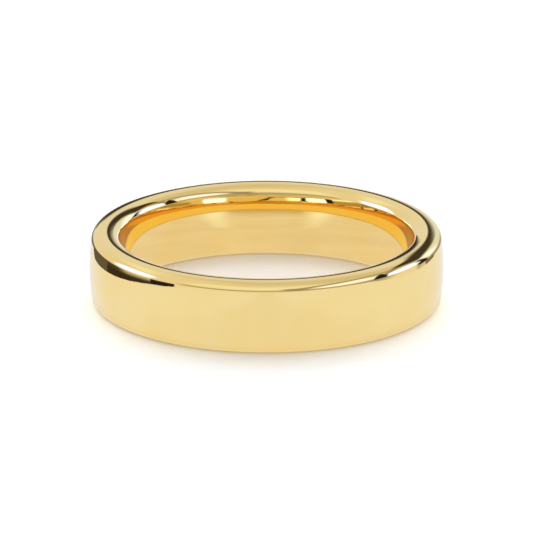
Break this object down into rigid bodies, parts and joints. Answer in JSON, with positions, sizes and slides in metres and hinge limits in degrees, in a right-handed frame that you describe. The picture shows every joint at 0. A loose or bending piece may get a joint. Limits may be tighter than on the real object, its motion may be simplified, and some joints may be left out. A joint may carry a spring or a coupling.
{
  "type": "wedding band",
  "caption": "Plain court-shaped finger ring: crowned outside, comfort-curved bore and rounded edges, mirror-polished yellow gold.",
  "frame": {"origin": "centre of the ring, on the axis of the finger hole at mid-width", "axes": "+Z along the axis of the finger hole, up when the band lies flat; X and Y are any two radial directions, since the band is a body of revolution"},
  "size_m": [0.0218, 0.0218, 0.0046],
  "materials": {
    "gold": "polished"
  },
  "bodies": {
    "root": {"band": "gold"}
  },
  "joints": []
}
